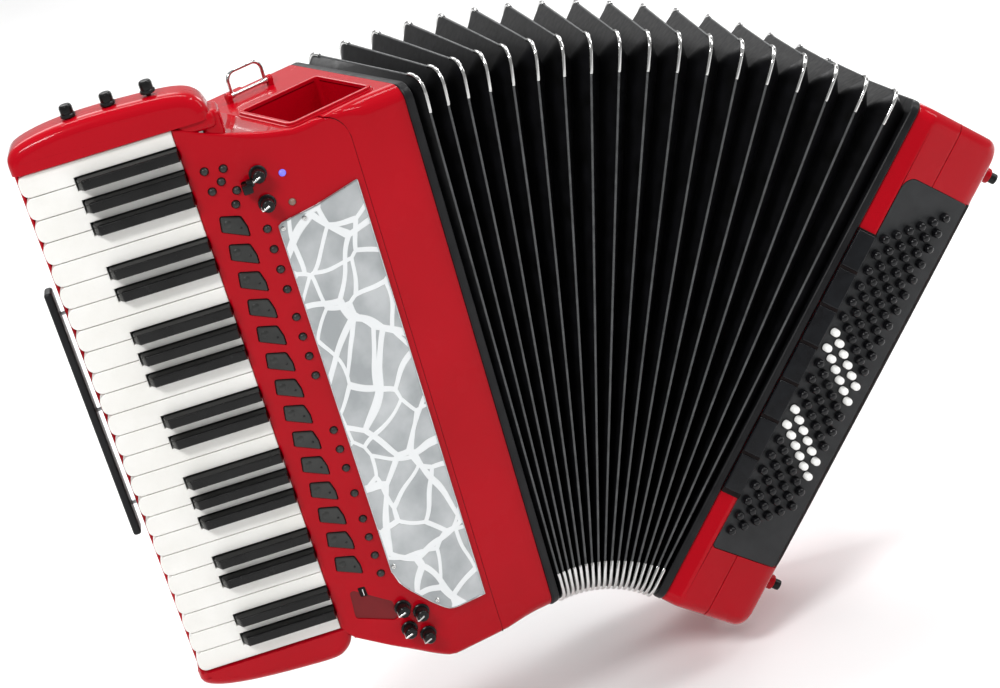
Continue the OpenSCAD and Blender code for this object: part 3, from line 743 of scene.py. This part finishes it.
bm = bmesh.new()
uvl = bm.loops.layers.uv.new("UVMap")
cols, arc, last = [], 0.0, None
for x, y in densify(GR, 2.5):
    if last:
        arc += math.dist(last, (x, y))
    last = (x, y)
    z0, z1 = grille_low(x), grille_high(x)
    cols.append([(x, y, z0 + (z1 - z0) * j / 60, arc) for j in range(61)])
rows = [[bm.verts.new(q[:3]) for q in c] for c in cols]
for i in range(len(rows) - 1):
    for j in range(60):
        f = bm.faces.new((rows[i][j], rows[i + 1][j], rows[i + 1][j + 1], rows[i][j + 1]))
        for lp, q in zip(f.loops, (cols[i][j], cols[i + 1][j], cols[i + 1][j + 1], cols[i][j + 1])):
            lp[uvl].uv = (q[3] * 0.01 * 1.25, q[2] * 0.01)
bmesh.ops.recalc_face_normals(bm, faces=bm.faces[:])
if bm.faces[:][100].normal.y > 0:
    bmesh.ops.reverse_faces(bm, faces=bm.faces[:])
bmesh.ops.solidify(bm, geom=bm.faces[:], thickness=1.4)
p = Part("grille_plate")
p.add(bm, ROW, SILVER)
p.done("treble", "grille", weighted=False)
# raised rim and screws
p = Part("grille_rim")
rim = [(x, y - 0.15, grille_low(x) + 0.5) for x, y in densify(GR, 4)] + \
      [(GR[-1][0], GR[-1][1] - 0.15, z) for z in range(112, 440, 20)] + \
      [(x, y - 0.15, grille_high(x) - 0.5) for x, y in reversed(densify(GR, 4))] + \
      [(GR[0][0], GR[0][1] - 0.15, z) for z in range(430, 50, -20)]
p.add(tube(rim, 0.55, 6, True), ROW, STEEL)
for s, z in ((3.0, 437.4), (22, 440.5), (3.0, 108), (30.5, 62)):
    # s runs from the keyboard-side edge of the plate
    pts = list(reversed(densify(GR, 0.5)))
    run, q0 = 0, pts[0]
    for q in pts:
        run += math.dist(q0, q)
        q0 = q
        if run >= s:
            break
    i = pts.index(q0)
    d = Vector((pts[i][0] - pts[i - 1][0], pts[i][1] - pts[i - 1][1], 0)).normalized()
    nrm = Vector((d.y, -d.x, 0)) if Vector((d.y, -d.x, 0)).y < 0 else Vector((-d.y, d.x, 0))
    rot = Vector((0, 1, 0)).rotation_difference(nrm).to_matrix().to_4x4()
    M = ROW @ T(q0[0], q0[1], z) @ rot
    p.add(lathe([(2.0, -0.3), (2.3, 0.5), (1.9, 1.1), (1.0, 1.35), (0.9, 0.8), (0.05, 0.8)], 20), M, CHROME)
p.done("treble", "grille", weighted=False)

# ---------------------------------------------------------------- registers, buttons and knobs on the panel
p = Part("treble_register_tabs")
for z in TAB_Z:
    out = round_poly([(a, b + z, c) for a, b, c in
                      [(75.8, -2.0, 1.2), (55.5, -12.0, 1.0), (55.3, -4, 9), (58.0, 5.9, 3.2), (74.0, 10.8, 1.8)]], 5)
    p.add(slab(out, -0.2, 1.9, 1.1, 4), PANEL, TAB)
    p.add(lathe([(3.6, 1.2), (3.3, 1.9), (2.4, 2.5), (1.2, 2.8), (0.1, 2.9)], 20, (69.5, 0, z + 3.2)), PANEL, TAB)
    p.add(lathe([(1.0, 1.0), (1.0, 2.1), (0.6, 2.4), (0.1, 2.4)], 12, (60.2, 0, z - 3.0)), PANEL, SATIN)
p.done("treble_tabs", "treble_registers")

p = Part("push_button_caps")
for u, z in BUTTONS:
    p.add(lathe([(3.1, -0.3), (3.1, 1.0), (2.8, 1.8), (2.1, 2.4), (1.1, 2.7), (0.1, 2.8)], 22, (u, 0, z)),
          PANEL, TAB)
for (u, z), m in zip(LAMPS, (VIOLET, SMOKE)):
    p.add(lathe([(3.1, -0.3), (3.0, 0.6), (2.4, 1.5), (1.3, 2.0), (0.1, 2.2)], 22, (u, 0, z)), PANEL, m)
# data stick
p.add(lathe([(2.6, -0.2), (2.4, 4)], 16, (45.5, 0, 481)), PANEL, SATIN)
p.add(box(41.2, 49.6, 2.4, 11.0, 476.4, 484.6, 1.5, 3), PANEL, EBONY)
p.add(box(38.8, 45.4, 1.8, 9.0, 481.0, 487.2, 1.4, 3), PANEL, EBONY)
p.done("push", "push_buttons")


def knob(name, body, node, u, z, turn):
    """Skirted pointer knob: fluted side, metal index across the top and down the side."""
    p = Part(name)
    M = PANEL @ T(u, 0, z) @ Matrix.Rotation(rad(turn), 4, "Y")
    p.add(lathe([(3.0, -2), (3.0, 0.3), (7.4, 0.3), (7.5, 1.4), (6.8, 2.1), (6.0, 2.2)], 32), M, SATIN)
    side = ((5.7, 1.9), (5.6, 5.0), (5.35, 10.4), (5.0, 11.2), (4.3, 11.7), (0.2, 11.75))
    p.add(fluted(side, 0.22, 0, 10.8), M, EBONY)
    p.add(box(-0.85, 0.85, 11.3, 12.4, -5.6, 1.2, 0.35), M, CHROME)
    p.add(box(-0.7, 0.7, 2.1, 12.0, -6.4, -5.2, 0.3), M, MARK)
    p.done(body, node)


for i, ((u, z), t) in enumerate(zip(((33.8, 488), (33.8, 461.9)), (-66, -70)), 1):
    knob(f"select_knob_{i}_cap", f"select_{i}", f"select_knob_{i}", u, z, t)
for i, ((u, z), t) in enumerate(zip(((31.5, 65.3), (16.8, 55.6), (31.4, 42.8), (16.8, 31.9)),
                                    (-72, -64, -70, -66)), 1):
    knob(f"level_knob_{i}_cap", f"level_{i}", f"level_knob_{i}", u, z, t)

# ---------------------------------------------------------------- keyboard
def curve_through(pts, n=5):
    """Smooth open curve through points."""
    out = []
    q = [pts[0]] + list(pts) + [pts[-1]]
    for i in range(1, len(q) - 2):
        a, b, c, d = (Vector(v) for v in q[i - 1:i + 3])
        for j in range(n):
            t = j / n
            out.append(0.5 * (2 * b + (c - a) * t + (2 * a - 5 * b + 4 * c - d) * t * t
                              + (3 * b - a - 3 * c + d) * t ** 3))
    return out + [Vector(pts[-1])]


def end_block(outline2):
    """Block with a softly rolled front edge: the outline shrinks in steps towards the front and the back."""
    pts = [Vector(q) for q in outline2]
    flat = [abs(q.y - pts[0].y) < 1e-6 for q in pts]
    cx, cz = sum(q.x for q in pts) / len(pts), pts[0].y
    x0, x1 = min(q.x for q in pts), max(q.x for q in pts)
    bm, rings = bmesh.new(), []
    for y, d in ((-33.8, 5), (-33.2, 3.2), (-31.5, 1.4), (-28, 0), (-7, 0), (-3.2, 0.8), (-0.4, 2.6), (1.4, 4.8),
                 (2.5, 7.4), (3.0, 10.2)):
        ring = []
        for i, q in enumerate(pts):
            a, b = pts[i - 1], pts[(i + 1) % len(pts)]
            if flat[i]:
                ring.append((min(max(q.x, x0 + d), x1 - d), q.y))
                continue
            t = (b - a).normalized()
            nrm = Vector((t.y, -t.x))
            if nrm.dot(Vector((cx, cz)) - q) < 0:
                nrm.negate()
            v = q + nrm * d
            ring.append((min(max(v.x, x0 + d), x1 - d), v.y))
        rings.append([bm.verts.new((x, y, z)) for x, z in ring])
    bridge(bm, rings)
    return bm


p = Part("keyboard_tray")
p.add(box(-20, 132, -34, -31, 58, 549, 1.0), KEYS, RED)
p.add(box(128.8, 132, -34, -20.5, 52, 556, 1.3, 4), KEYS, RED)
TOP_END = curve_through([(131.9, 552), (130.6, 558.5), (125, 565), (115, 569.2), (98, 572.6), (76, 574.6),
                         (48, 574.9), (16, 573.6), (-8, 571.6), (-22, 567.8), (-30, 561), (-33.8, 552)])
p.add(end_block([(-33.8, 544.7), (131.9, 544.7)] + TOP_END), KEYS, RED)
LOW_END = curve_through([(-8, 55), (-5.5, 47), (1, 39.5), (12, 35), (40, 35.4), (78, 38), (104, 41.6), (120, 46),
                         (129, 51.2), (131.9, 57)])
p.add(end_block([(131.9, 62.9), (-8, 62.9)] + LOW_END), KEYS, RED)
p.add(box(-19.6, -8, -34, -6, 46, 62.9, 2), KEYS, RED)
# dark block under the keys and in the slot behind them: painted shade between the key tips
p.add(box(-18, 128.6, -31.0, -22.4, 64, 543, 0.4), KEYS, SOCKET_BLACK_AND_SHADE)
p.done("treble", "keyboard_frame")

p = Part("key_axle_rod")
p.add(lathe([(1.0, 54.6), (1.5, 55.2), (1.5, 552.2), (1.0, 552.8)], 20, (-14, -11, 0), "z"), KEYS, STEEL)
p.done("treble", "key_axle")

NOTES = ["f", "g", "a", "b", "c", "d", "e"]
NEXT = [1, 1, 1, 0, 1, 1, 0]      # a black key above this note
PREV = [0, 1, 1, 1, 0, 1, 1]      # a black key below it


def white_outline(zc, nxt, prv):
    """A white key seen from above: notches beside the black keys and a rounded tip."""
    h, s, r = 9.66, 4.1, 7.2
    pts = [(0, -s), (85.2, -s), (85.2, -h)] if nxt else [(0, -h)]
    pts += [(128.7 - r + r * math.cos(rad(a)), -h + r + r * math.sin(rad(a))) for a in range(-90, 1, 10)]
    pts += [(128.7 - r + r * math.cos(rad(a)), h - r + r * math.sin(rad(a))) for a in range(0, 91, 10)]
    pts += [(85.2, h), (85.2, s), (0, s)] if prv else [(0, h)]
    return [Vector((x, z + zc)) for x, z in pts]


for n, note in enumerate(NOTES):
    p = Part(f"keys_{note}_white")
    for i in range(n, 24, 7):
        zc = KEY_TOP - KEY_PITCH * (i + 0.5)
        p.add(slab(white_outline(zc, NEXT[n] and i < 23, PREV[n] and i > 0), -15.5, 0, 0.9, 4, True), KEYS, IVORY)
        p.add(box(-19, 3, -16, -7, zc - 3.5, zc + (3.5 if i else 0.2), 0.6), KEYS, BOARDM)
    p.done(f"keys_{note}", f"key_{note}")

for n, note in enumerate(NOTES):
    if not NEXT[n]:
        continue
    p = Part(f"keys_{note}_sharp_black")
    for i in range(n, 23, 7):
        zc = KEY_TOP - KEY_PITCH * (i + 1)
        # tapered block: wide foot, narrower top, sloping front
        bm = bmesh.new()
        ring = []
        for y, s1, w in ((-16, 83.2, 5.2), (0, 83.6, 5.2), (2, 83.6, 5.15), (8.3, 80.2, 4.6), (9.3, 78.9, 3.9),
                         (9.5, 77.6, 3.2)):
            s0 = 0.6 if y > 8.5 else 0.0
            ring.append([bm.verts.new(q) for q in ((s0, y, zc - w), (s1 - 1.0, y, zc - w), (s1, y, zc - w + 1.1),
                                                   (s1, y, zc + w - 1.1), (s1 - 1.0, y, zc + w), (s0, y, zc + w))])
        bridge(bm, ring)
        p.add(bm, KEYS, EBONY)
        p.add(box(-19, 3, -16, -7, zc - 2.6, zc + 2.6, 0.5), KEYS, BOARDM)
    p.done(f"keys_{note}_sharp", f"key_{note}_sharp", angle=40)

p = Part("palm_bar_pad")
p.add(box(136, 143, -30, -12, 205, 438.5, 2.6, 5), KEYS, RUBBER)
for z in (230, 322, 414):
    p.add(lathe([(1.6, 119.8), (1.9, 120.6), (1.9, 137)], 14, (0, -27.4, z), "x"), KEYS, STEEL)
p.done("palm", "palm_bar")

for i, s in enumerate((74, 41, 8), 1):
    p = Part(f"top_knob_{i}_cap")
    M = KEYS @ T(s, -14, 0)
    foot = ((2.1, 562), (2.1, 575.2), (5.6, 575.3), (6.3, 576.0), (6.3, 577.8), (5.4, 578.5))
    p.add(lathe(foot, 28, axis="z"), M, SATIN)
    side = ((5.0, 578.4), (5.2, 579.2), (5.2, 583.6), (4.8, 585.2), (4.0, 585.9), (0.2, 586))
    p.add(fluted(side, 0.2, 579, 584, "z"), M, EBONY)
    p.done(f"top_{i}", f"top_knob_{i}")

# ---------------------------------------------------------------- inside the treble side
p = Part("main_board_pcb")
p.add(box(14, 48, -16, -14.2, 66, 486, 0.3), PANEL, GREEN)
random.seed(4)
for _ in range(26):
    u, z = random.uniform(17, 42), random.uniform(72, 474)
    p.add(box(u, u + random.uniform(2, 5), -14.3, -14.2 + random.uniform(0.6, 1.6), z, z + random.uniform(2, 6),
              0.2, 1), PANEL, random.choice((SATIN, BOARDM, STEEL)))
p.done("treble", "main_board")

p = Part("speaker_units")
for z in (150, 350):
    p.add(lathe([(18, 73), (18.9, 72), (19, 54), (26.5, 54), (27, 53.5), (27, 50.3), (26.5, 50), (24.5, 50),
                 (23, 51.5), (12, 58), (7, 59), (5.5, 56), (2.5, 54.5), (0.1, 54.2)], 40, (-62, 0, z)), ROW, CONE)
p.done("treble", "speakers")


# ---------------------------------------------------------------- bellows
def outline(inset, r, n_long=9, n_short=4, nc=6):
    """Points round the bellows frame, inset from its edge, in the same order for every inset."""
    y0, y1, z0, z1 = inset, DEPTH - inset, inset, HEIGHT - inset
    out = []
    for cy, cz, a0, nxt in ((y1 - r, z1 - r, 0, "short"), (y0 + r, z1 - r, 90, "long"),
                            (y0 + r, z0 + r, 180, "short"), (y1 - r, z0 + r, 270, "long")):
        for j in range(nc + 1):
            a = rad(a0 + 90 * j / nc)
            out.append((cy + r * math.cos(a), cz + r * math.sin(a)))
        m = n_short if nxt == "short" else n_long
        a = out[-1]
        b = {0: (y0 + r, z1), 90: (y0, z0 + r), 180: (y1 - r, z0), 270: (y1, z1 - r)}[a0]
        for j in range(1, m):
            out.append((a[0] + (b[0] - a[0]) * j / m, a[1] + (b[1] - a[1]) * j / m))
    return out


EDGE = outline(0.6, 13.4)
DEEP = outline(22, 6)
NEAR = outline(12.5, 8)


def place(k):
    return T(8, 0, 0) if k == 0 else fanned(k)


PLACE = [place(k) for k in range(FOLDS + 2)]


def valley(k, ring):
    """Halfway between folds k and k + 1."""
    return [(PLACE[k] @ Vector((0, y, z)) + PLACE[k + 1] @ Vector((0, y, z))) / 2 for y, z in ring]


for k in range(1, FOLDS + 1):
    M = PLACE[k]
    lo, hi = valley(k - 1, DEEP), valley(k, DEEP)
    if k == 1:
        lo = [PLACE[0] @ Vector((0.2, y, z)) for y, z in NEAR]
    if k == FOLDS:
        hi = [PLACE[k + 1] @ Vector((-0.2, y, z)) for y, z in NEAR]
    ridge1, ridge2 = ([M @ Vector((x, y, z)) for y, z in EDGE] for x in (-1.0, 1.0))
    mid1, mid2 = ([(a + b) / 2 for a, b in zip(*pair)] for pair in ((lo, ridge1), (hi, ridge2)))
    bm = bmesh.new()
    bridge(bm, [[bm.verts.new(q) for q in ring] for ring in (lo, mid1, ridge1, ridge2, mid2, hi)], "open")
    bmesh.ops.recalc_face_normals(bm, faces=bm.faces[:])
    bmesh.ops.solidify(bm, geom=bm.faces[:], thickness=0.7)
    p = Part(f"fold_{k:02d}_leaves")
    p.add(bm, ROW, VINYL)
    ob = p.done(f"fold_{k:02d}", f"bellows_fold_{k:02d}", angle=40, weighted=False)
    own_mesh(ob)

    # tape along the ridge, its grey partly a painted highlight on the ridges, and metal guards round the corners
    p = Part(f"fold_{k:02d}_trim")
    edge = outline(0.55, 13.45, 16, 6, 8)
    p.add(tube([M @ Vector((0, y, z)) for y, z in edge], 1.05, 8, True), ROW, GREY_TAPE_AND_SHEEN)
    for sy, sz in ((-1, -1), (-1, 1), (1, -1), (1, 1)):
        cy, cz = (DEPTH - 14 if sy > 0 else 14), (HEIGHT - 14 if sz > 0 else 14)
        path = [(cy + sy * 13.6, cz - sz * 17), (cy + sy * 14.2, cz - sz * 15), (cy + sy * 14.3, cz - sz * 8)]
        for j in range(9):
            a = rad(90 * j / 8)
            path.append((cy + sy * 14.3 * math.cos(a), cz + sz * 14.3 * math.sin(a)))
        path += [(cy - sy * 5, cz + sz * 14.3), (cy - sy * 7, cz + sz * 13.6)]
        p.add(tube([M @ Vector((0, y, z)) for y, z in path], 1.75, 10), ROW, CHROME)
    p.done(f"fold_{k:02d}", f"bellows_fold_{k:02d}", angle=40, weighted=False)


def gasket(name, M, body, node):
    """Black frame between the box and the bellows, with a rounded lip."""
    p = Part(name)
    bm = bmesh.new()
    rings, w = [], 8
    for ins, x in ((14.8, 0.05), (1.2, 0.05), (0.3, 0.9), (0.0, 1.8), (0.0, w - 1.8), (0.3, w - 0.9),
                   (1.2, w - 0.05), (14.8, w - 0.05)):
        rings.append([bm.verts.new((x, y, z)) for y, z in outline(ins, max(14 - ins, 3))])
    bridge(bm, rings, "loop")
    p.add(bm, M, RUBBER)
    p.done(body, node)


gasket("treble_bellows_frame", ROW, "treble", "treble_gasket")
gasket("bass_bellows_frame", BASS, "bass", "bass_gasket")


# ---------------------------------------------------------------- bass side
BFRONT = [(8, 3), (16, 1.5), (24, 0), (55, 14.4), (98, 34.5), (103, 40)]


def b_front(x):
    for (x0, v0), (x1, v1) in zip(BFRONT, BFRONT[1:]):
        if x <= x1:
            return v0 + (v1 - v0) * (x - x0) / (x1 - x0)
    return BFRONT[-1][1]


p = Part("bass_shell")
st = []
for x in (8, 10, 16, 21, 23, 25, 28, 35, 45, 52, 54.4, 55):
    e = 0.5 if x in (8, 55) else 0.0
    y0 = b_front(x) + (0.35 if x in (23, 25) else 0) + e
    st.append((x, section(y0, DEPTH - e, e, HEIGHT - e, 13.5, 13.5, 13.5, 13.5)))
p.add(loft(st), BASS, RED)
bass_shell = p.done("bass", "bass_body")

p = Part("bass_end_shell")
st = []
for x, e in ((55.4, 0.5), (56, 0), (62, 0), (72, 0), (82, 0), (90, 0), (94, 0.6), (97, 1.6), (99.5, 3.2), (101.3, 5.4),
             (102.5, 8), (103, 10.5)):
    y0 = b_front(min(x, 98)) + e
    st.append((x, section(y0, DEPTH - e * 1.3, e, HEIGHT - e, 13.5, 13.5, 13.5, 13.5)))
p.add(loft(st), BASS, RED)
bass_end = p.done("bass", "bass_end_cover")

REC = round_poly([(1.9, 67.6, 4), (96, 67.6, 0), (96, 452.4, 0), (1.9, 452.4, 13)], 6)
cut(bass_shell, [(slab(REC, -14, 30, 0), BOARD), (box(8.8, 26.6, -6, 8, 119.2, 391.6, 1.0), BASS)])
cut(bass_end, [(slab(REC, -14, 30, 0), BOARD)])

p = Part("button_board_plate")
plate = round_poly([(2.4, 68.2, 4), (81.8, 68.2, 3), (81.8, 451.8, 3), (2.4, 451.8, 12.5)], 6)
p.add(slab(plate, -4, 0, 0.5, 2, True), BOARD, BOARDM)


def button_at(j, i):
    """Place of a bass button on the board: row j from the bellows, number i from the top."""
    return 11 + j * 10.4, 391.5 + j * 8.25 - i * 15.9


# collars round the buttons
for j in range(6):
    for i in range(20):
        w, z = button_at(j, i)
        p.add(lathe([(5.0, -0.5), (5.0, 0.25), (4.7, 0.5), (4.1, 0.5), (4.0, -0.5)], 20, (w, 0, z)), BOARD, RUBBER)
p.done("bass", "button_board")


def bass_buttons(name, rows, body, node):
    p = Part(name)
    for j in rows:
        for i in range(20):
            w, z = button_at(j, i)
            white = (i - j) in (6, 7, 11, 12)       # two plain double stripes
            r = 3.7 if white else 4.15
            prof = [(r, -4), (r, 4.6), (r * 0.93, 5.6), (r * 0.76, 6.6), (r * 0.49, 7.3), (r * 0.24, 7.6), (0.05, 7.7)]
            # white buttons take the faintly glowing material: a painted glow
            p.add(lathe(prof, 18, (w, 0, z)), BOARD, WHITE_BUTTON_GLOW if white else DOME)
    p.done(body, node, angle=50, weighted=False)


bass_buttons("bass_note_button_caps", (0, 1), "bass_notes", "bass_note_buttons")
bass_buttons("chord_button_caps", (2, 3, 4, 5), "chords", "chord_buttons")

# near-black bed behind the register tabs: painted shade in the gaps between them
p = Part("bass_register_painted_shade_bed")
p.add(box(8.7, 26.6, -0.9, 7.9, 119.3, 391.5, 0.3), BASS, SOCKET_BLACK_AND_SHADE)
p.done("bass", "bass_body")
p = Part("bass_register_tabs")
for i in range(7):
    z = 353.6 - 38.4 * i
    p.add(box(8.6, 26.4, -2.8, 5.0, z + 0.6, z + 36.4, 1.4, 4), BASS, GLOSS)
p.done("bass_tabs", "bass_registers")

p = Part("bass_hand_strap")
bm = bmesh.new()
rings = []
ny = 8
prof = [(103.7, 60.2), (105.6, 60.2), (107.4, 61.2), (108.4, 64), (108.9, 72), (109.2, 120), (109.4, 200), (109.5, 262),
        (109.4, 330), (109.2, 400), (108.9, 453), (108.4, 461), (107.4, 463.8), (105.6, 464.8), (103.7, 464.8)]
for i, (x, z) in enumerate(prof):
    a = Vector(prof[max(i - 1, 0)])
    b = Vector(prof[min(i + 1, len(prof) - 1)])
    d = (b - a).normalized()
    nx, nz = d.y, -d.x
    ring = []
    for s, t in [(j / ny, 0) for j in range(ny + 1)] + [(1 - j / ny, 1) for j in range(ny + 1)]:
        crown = 0.5 * math.sin(math.pi * s)
        off = (crown if t == 0 else crown - 2.2)
        ring.append(bm.verts.new((x + nx * off, 62 + 66 * s, z + nz * off)))
    rings.append(ring)
bridge(bm, rings)
p.add(bm, BASS, STRAP)
# stitching along both edges
for y in (64.5, 125.5):
    for z in range(76, 450, 6):
        p.add(box(108.8, 109.8, y - 0.35, y + 0.35, z, z + 4, 0.3, 1), BASS, GREY_TAPE_AND_SHEEN)
p.done("bass", "bass_strap")

p = Part("strap_post_ends")
for z in (43, 485):
    p.add(lathe([(3.4, 94), (3.4, 102), (8.0, 102.2), (8.0, 108), (7.7, 116), (7.5, 121.4), (6.7, 122.7), (4, 123)], 28,
                (0, 95, z), "x"), BASS, RED)
    p.add(lathe([(3.2, 112), (3.2, 123.2), (4.8, 123.3), (5.2, 124), (5.2, 128.6), (4.9, 129.8), (3.4, 130.4),
                 (0.1, 130.5)], 24, (0, 95, z), "x"), BASS, SATIN)
p.done("bass", "strap_posts")

# ---------------------------------------------------------------- chrome loop for the shoulder strap
p = Part("strap_loop_wire")
r = 8
path = [(-17, 0, 0)]
for cx, a0 in ((-17 + r, 180), (17 - r, 90)):
    for j in range(9):
        a = rad(a0 - 90 * j / 8)
        path.append((cx + r * math.cos(a), 0, 20 - r + r * math.sin(a)))
path.append((17, 0, 0))
M = ROW @ T(-59, 155, 520)
p.add(tube(path, 1.6, 14), M, CHROME)
p.add(lathe([(1.2, -23), (1.7, -22.5), (1.7, 22.5), (1.2, 23)], 18, axis="x"), M, CHROME)
for x in (-17, 17):
    p.add(lathe([(1.9, x - 2.6), (2.6, x - 2.2), (2.6, x + 2.2), (1.9, x + 2.6)], 20, axis="x"), M, CHROME)
p.done("loop", "strap_loop")

# ---------------------------------------------------------------- floor and light
lo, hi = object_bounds()
floor_z = min(lo.z, cad_lo.z) - 0.004
bm = bmesh.new()
n, rings = 96, []
for r in (0.0001, 1.5, 3, 5, 8, 12, 18):
    rings.append([bm.verts.new((0.2 + r * math.cos(2 * math.pi * i / n), r * math.sin(2 * math.pi * i / n), floor_z))
                  for i in range(n)])
bridge(bm, rings, "open")
me = bpy.data.meshes.new("floor")
bm.to_mesh(me)
bm.free()
floor = bpy.data.objects.new("floor", me)
scene.collection.objects.link(floor)
me.materials.append(material("floor_white", (0.86, 0.86, 0.86), (0.90, 0.90, 0.90), (0.7, 0.8), spec=0.1, scale=2,
                             bump=0.02))
floor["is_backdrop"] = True

world = bpy.data.worlds.new("studio")
scene.world = world
world.use_nodes = True
bg = world.node_tree.nodes["Background"]
bg.inputs["Color"].default_value = (1, 1, 1, 1)
bg.inputs["Strength"].default_value = 0.46


def area(name, loc, target, size, power, size_y=None):
    d = bpy.data.lights.new(name, "AREA")
    d.energy, d.size = power, size
    if size_y:
        d.shape, d.size_y = "RECTANGLE", size_y
    o = bpy.data.objects.new(name, d)
    o.location = loc
    o.rotation_euler = (Vector(target) - Vector(loc)).to_track_quat("-Z", "Y").to_euler()
    scene.collection.objects.link(o)


area("key", (-1.9, -1.2, 2.4), (0.1, -0.1, 0), 1.0, 62, 0.5)
area("top", (0.5, 0.4, 2.6), (0.2, 0, 0), 1.7, 30, 0.5)
area("edge", (1.4, -1.1, 2.3), (0.1, -0.1, 0), 1.5, 20, 0.22)
area("right", (2.4, -1.3, 1.3), (0.3, -0.1, 0), 0.6, 18, 1.4)
area("rim", (2.7, 1.0, 1.0), (0.45, 0, 0), 0.9, 22, 0.9)
area("back", (0.5, 2.4, 1.6), (0.2, 0, 0.1), 2.0, 10, 0.6)
area("floor", (1.0, 3.4, 3.0), (1.2, 3.0, -0.4), 3.0, 70)
scene.view_settings.view_transform = "Standard"

lo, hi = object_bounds()
